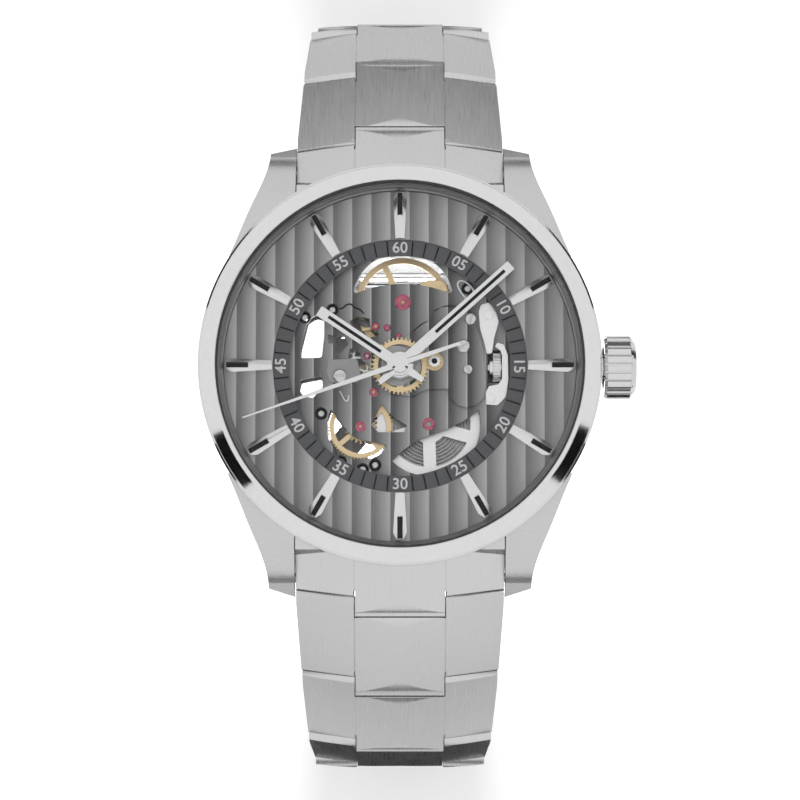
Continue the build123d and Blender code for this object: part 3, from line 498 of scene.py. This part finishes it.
def hub_plate():
    """The grey lobed plate on the hour wheel, with a bright faceted seat on top."""
    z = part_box("hour_wheel")[0].z + 0.16 * MM
    bm = bmesh.new()
    add_prism(bm, round_outline((0, 0), 2.1 * MM, 60, 3, 0.14 * MM), z, z + 0.1 * MM)
    bevelled(piece("hub_plate", bm, "hour", "grey_steel"), 0.03 * MM)
    bm = bmesh.new()
    add_prism(bm, round_outline((0, 0), 1.5 * MM, 8), z + 0.1 * MM, z + 0.3 * MM)
    bevelled(piece("hub_seat", bm, "hour", "lever"), 0.12 * MM, 1)


def pinion_cap():
    """The small toothed cap on the minute wheel's pinion, with a black disc on top as painted shade for its
    hole.
    """
    low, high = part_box("minute_wheel")
    at = ((low.x + high.x) / 2, (low.y + high.y) / 2)
    bm = bmesh.new()
    add_prism(bm, round_outline(at, 0.6 * MM, 96, 16, 0.06 * MM), high.z, high.z + 0.08 * MM)
    bevelled(piece("pinion_cap", bm, "minute_wheel", "lever"), 0.015 * MM, 1)
    # A black disc over the cap's centre: painted shade standing for its hole.
    bm = bmesh.new()
    add_prism(bm, round_outline(at, 0.3 * MM), high.z + 0.08 * MM, high.z + 0.1 * MM)
    piece("pinion_cap_hole_painted_shade", bm, "minute_wheel", "black")


# In the movement's small parts below, places and sizes are in millimetres.
SUNK_SCREWS = ((-8.25, -4.95), (-2.6, -10.35), (-3.9, -10.8), (-6.2, -10.0), (-7.1, 6.0), (-10.0, 5.2),
               (7.1, 8.25))
SUNK_FLOOR = 6.2
CUP_PROFILE = ((0.65, 0.3), (0.65, 0.004), (0.36, 0.004), (0.36, 0.05), (0.57, 0.06), (0.57, 0.3))
CUP_SIDES = 32
BRIDGE_SPRING_Z = 6.58              # springs that lie on the cover plate
PLATE_SPRING_Z = 6.55               # springs round the balance's shock settings


def screw_cups():
    """Black cups round the small screws that are sunk in the main plate."""
    bm = bmesh.new()
    for x, y in SUNK_SCREWS:
        rings = []
        for r, z in CUP_PROFILE:
            ring = round_outline((x * MM, y * MM), r * MM, CUP_SIDES)
            rings.append([bm.verts.new((px, py, (SUNK_FLOOR + z) * MM)) for px, py in ring])
        for a, b in zip(rings, rings[1:] + rings[:1]):
            for n in range(CUP_SIDES):
                m = (n + 1) % CUP_SIDES
                bm.faces.new((a[n], a[m], b[m], b[n]))
    return piece("screw_cups", bm, "case", "black")


def gilt_plate(name, outline, z0, z1, bevel):
    bm = bmesh.new()
    add_prism(bm, [(x * MM, y * MM) for x, y in outline], z0 * MM, z1 * MM)
    return bevelled(piece(name, bm, "case", "gilt"), bevel * MM)


def wire(name, points, r, z, material, closed=False):
    """A round wire of radius r, bent through (x, y) points at the height z."""
    curve = bpy.data.curves.new(name, "CURVE")
    curve.dimensions = "3D"
    curve.bevel_depth = r * MM
    curve.bevel_resolution = 2
    curve.use_fill_caps = True
    spline = curve.splines.new("NURBS")
    spline.points.add(len(points) - 1)
    for point, (x, y) in zip(spline.points, points):
        point.co = (x * MM, y * MM, z * MM, 1.0)
    spline.order_u = 3
    spline.use_endpoint_u = not closed
    spline.use_cyclic_u = closed
    obj = link_object(name, curve, material)
    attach(obj, "case")
    return obj


def movement_details():
    hub_plate()
    pinion_cap()
    screw_cups()
    gilt_plate("regulator", [(2.1, 8.9), (3.0, 9.35), (4.4, 9.35), (5.0, 8.8), (5.3, 7.9), (4.5, 7.6),
                             (3.1, 7.5), (2.4, 7.9)], 5.2, 5.45, 0.08)
    gilt_plate("regulator_block", [(4.3, 8.7), (4.9, 8.7), (5.15, 8.1), (4.6, 7.95), (4.2, 8.2)],
               5.45, 5.6, 0.06)
    wire("screw_clip", [(6.15, 9.05), (6.75, 9.1), (7.75, 8.2), (7.75, 7.4), (7.2, 6.9), (6.6, 7.5),
                        (6.0, 8.5)], 0.11, 6.66, "lever", closed=True)
    wire("click_spring", [(-6.4, 6.15), (-6.0, 6.1), (-5.7, 6.55), (-5.1, 6.65), (-4.8, 6.2), (-4.2, 6.1),
                          (-3.8, 5.6)], 0.07, BRIDGE_SPRING_Z, "black")
    wire("hook_spring", [(-6.3, -2.6), (-6.0, -3.2), (-5.7, -3.7), (-5.4, -3.6), (-5.35, -3.0)],
         0.08, BRIDGE_SPRING_Z, "lever")
    wire("shock_spring_left", [(1.3, 3.6), (2.0, 4.4), (3.2, 4.9), (3.6, 5.3)],
         0.05, PLATE_SPRING_Z, "black")
    wire("shock_spring_right", [(3.6, 5.9), (4.6, 6.4), (5.6, 6.45), (6.3, 6.2)],
         0.05, PLATE_SPRING_Z, "black")


# ------------------------------------------------------------------ stage
def sheet(name, x0, x1, y0, y1, z, material):
    """A flat rectangle that stands on the stage and isn't part of the watch."""
    bm = bmesh.new()
    bm.faces.new([bm.verts.new((x, y, z)) for x, y in ((x0, y0), (x1, y0), (x1, y1), (x0, y1))])
    obj = mesh_object(name, bm, material)
    return obj


def only_reflected(obj):
    """Leave a studio card to the reflections in the steel."""
    obj.visible_camera = False
    obj.visible_diffuse = False
    obj.visible_shadow = False


def floor():
    size = 2.0
    sheet("floor", -size, size, -size, size, CAD_BOX[0][2] - 0.2 * MM, "floor")


def card(name, turn, zenith, far, width, height, material):
    """A studio card that faces the watch, turn degrees clockwise from 12 o'clock."""
    out = Vector((sin(radians(turn)) * sin(radians(zenith)), cos(radians(turn)) * sin(radians(zenith)),
                  cos(radians(zenith))))
    obj = sheet(name, -width / 2, width / 2, -height / 2, height / 2, 0.0, material)
    obj.location = out * far
    obj.rotation_euler = (-out).to_track_quat("Z", "Y").to_euler()
    only_reflected(obj)


def floor_card(side):
    """A black strip on the floor beyond a strand's end: side is 1 at 12 o'clock and -1 at 6."""
    near, far = 0.048, 0.085
    only_reflected(sheet("floor_card", -0.2, 0.2, side * near, side * far, CAD_BOX[0][2], "black_card"))


def through_light():
    """A small lamp under the case back that whitens the floor seen through the openings."""
    data = bpy.data.lights.new("through", "AREA")
    data.shape = "RECTANGLE"
    data.size, data.size_y = 0.02, 0.03
    data.energy = 0.03
    obj = link_object("through", data)
    obj.location.z = -0.004
    obj.visible_camera = False


def world(strength):
    """An even white studio all round."""
    studio = bpy.data.worlds.new("studio")
    bpy.context.scene.world = studio
    studio.use_nodes = True
    background = studio.node_tree.nodes["Background"]
    background.inputs["Color"].default_value = (1, 1, 1, 1)
    background.inputs["Strength"].default_value = strength


def camera():
    """A long lens almost straight above the dial, a little towards 6 o'clock."""
    target = Vector((0.0, -3.94, 10.5)) * MM
    distance = 0.3
    tilt = radians(6.0)
    away = Vector((0.0, -sin(tilt), cos(tilt)))
    data = bpy.data.cameras.new("camera")
    data.lens = 130.7
    data.sensor_width = 36.0
    data.clip_start = 0.01
    obj = link_object("camera", data)
    obj.location = target + away * distance
    obj.rotation_euler = (-away).to_track_quat("-Z", "Y").to_euler()
    bpy.context.scene.camera = obj


def build():
    bpy.context.scene.view_settings.view_transform = "Standard"
    paint_nodes()
    dial_stripes_and_painted_shade()
    minute_ticks()
    numerals()
    marker_inlays()
    hand_inlay("hour_hand", "hour", HOUR_TURN, 2.4 * MM, 9.0 * MM)
    hand_inlay("minute_hand", "minute", MINUTE_TURN, 5.0 * MM, 14.7 * MM)
    movement_details()
    floor()
    world(1.04)
    through_light()
    for turn in (110.0, 248.0):
        card("bezel_card", turn, 44.0, 0.25, 0.055, 0.1, "black_card")
    for side, turn in ((1, 0.0), (-1, 180.0)):
        card(f"far_card_{side}", turn, 85.0, 0.13, 0.4, 0.05, "grey_card")
        floor_card(side)
    camera()


build()
